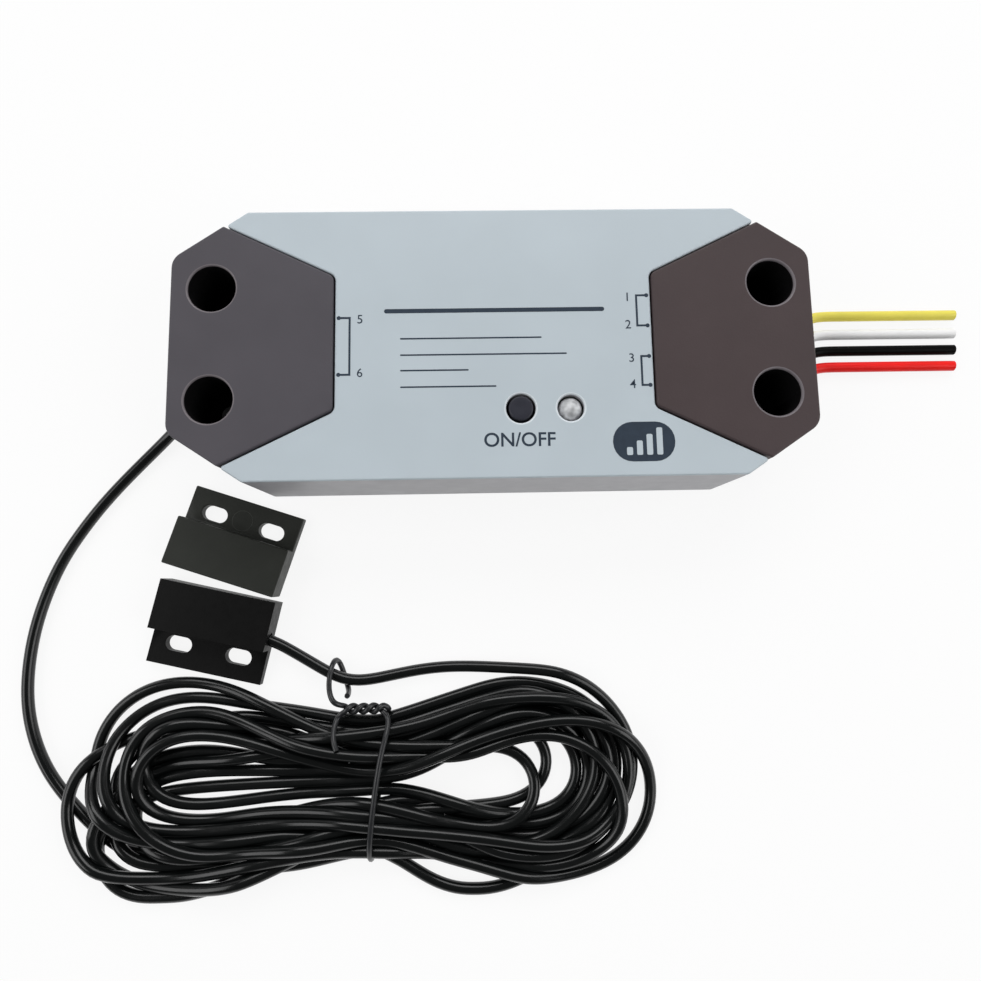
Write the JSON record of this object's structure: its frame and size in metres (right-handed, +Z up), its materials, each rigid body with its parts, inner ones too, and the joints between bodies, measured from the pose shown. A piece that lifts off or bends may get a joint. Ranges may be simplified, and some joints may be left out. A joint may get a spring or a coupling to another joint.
{
  "type": "garage door controller",
  "caption": "Flat blue-grey controller box with dark screw-down end caps, push button, lamp, connecting leads and a corded reed sensor with its loose magnet half.",
  "frame": {"origin": "centre of the casing's underside, on the mounting face", "axes": "+X along the casing towards the four leads, +Y across the casing away from the sensor, +Z up from the mounting face"},
  "size_m": [0.2142, 0.142, 0.0244],
  "materials": {
    "shell": "fine moulded blue-grey",
    "end_cap": "moulded warm dark grey, satin",
    "screw_steel": "zinc plated",
    "circuit_board": "green solder mask",
    "radio_laminate": "dark blue solder mask",
    "tinned_steel": "tinned",
    "relay_case": "moulded blue",
    "terminal_green": "moulded green",
    "capacitor_sleeve": "shrink sleeve",
    "ferrite": "dark ferrite",
    "chip_resin": "black moulding resin",
    "fuse_case": "moulded brown",
    "pale_resin": "pale moulded",
    "black_plastic": "moulded black",
    "button_black": "satin black",
    "clear_lens": "clear moulded lens",
    "black_rubber": "moulded rubber",
    "yellow_sheath": "soft wire sheath",
    "white_sheath": "soft wire sheath",
    "black_sheath": "soft wire sheath",
    "red_sheath": "soft wire sheath",
    "copper": "bare copper strands",
    "cord_jacket": "soft black cord jacket",
    "tie_sheath": "plastic covered wire",
    "sensor_plastic": "moulded black, fine grain",
    "reed_tube": "greenish glass",
    "magnet_metal": "sintered magnet"
  },
  "bodies": {
    "controller": {"base_tray": "shell", "top_cover": "shell", "left_end_cap": "end_cap", "right_end_cap": "end_cap", "casing_screws": "screw_steel", "main_board": "circuit_board", "board_screws": "screw_steel", "radio_board": "radio_laminate", "radio_shield": "tinned_steel", "relay": "relay_case", "supply_terminals": "terminal_green", "sensor_terminals": "terminal_green", "terminal_screws": "screw_steel", "smoothing_capacitors": "capacitor_sleeve", "power_inductor": "ferrite", "bridge_rectifier": "chip_resin", "input_fuse": "fuse_case", "opto_coupler": "pale_resin", "regulator_chip": "chip_resin", "switch_body": "black_plastic", "lamp_lens": "clear_lens", "lamp_spacer": "pale_resin", "lamp_pins": "tinned_steel", "lead_block": "black_rubber", "yellow_lead": "yellow_sheath", "white_lead": "white_sheath", "black_lead": "black_sheath", "red_lead": "red_sheath", "lead_cores": "copper", "cord_bush": "black_rubber", "sensor_lead": "cord_jacket", "sensor_cores": "white_sheath", "sensor_hank": "cord_jacket", "sensor_tail": "cord_jacket", "hank_tie": "tie_sheath", "reed_housing": "sensor_plastic", "reed_plate": "sensor_plastic", "reed_glass": "reed_tube", "reed_blades": "tinned_steel", "reed_cores": "white_sheath"},
    "button": {"button_cap": "button_black", "switch_plunger": "black_plastic"},
    "magnet_half": {"magnet_housing": "sensor_plastic", "magnet_plate": "sensor_plastic", "bar_magnet": "magnet_metal"}
  },
  "joints": [
    {"name": "button_press", "type": "slide", "parent": "controller", "child": "button", "axis": [0, 0, -1], "range_m": [0, 0.0005], "stiffness_N_per_m": 400, "springref_m": -0.002},
    {"name": "magnet_slide", "type": "slide", "parent": "controller", "child": "magnet_half", "axis": [0.9483, -0.3173, 0], "range_m": [0, 0.025]}
  ]
}
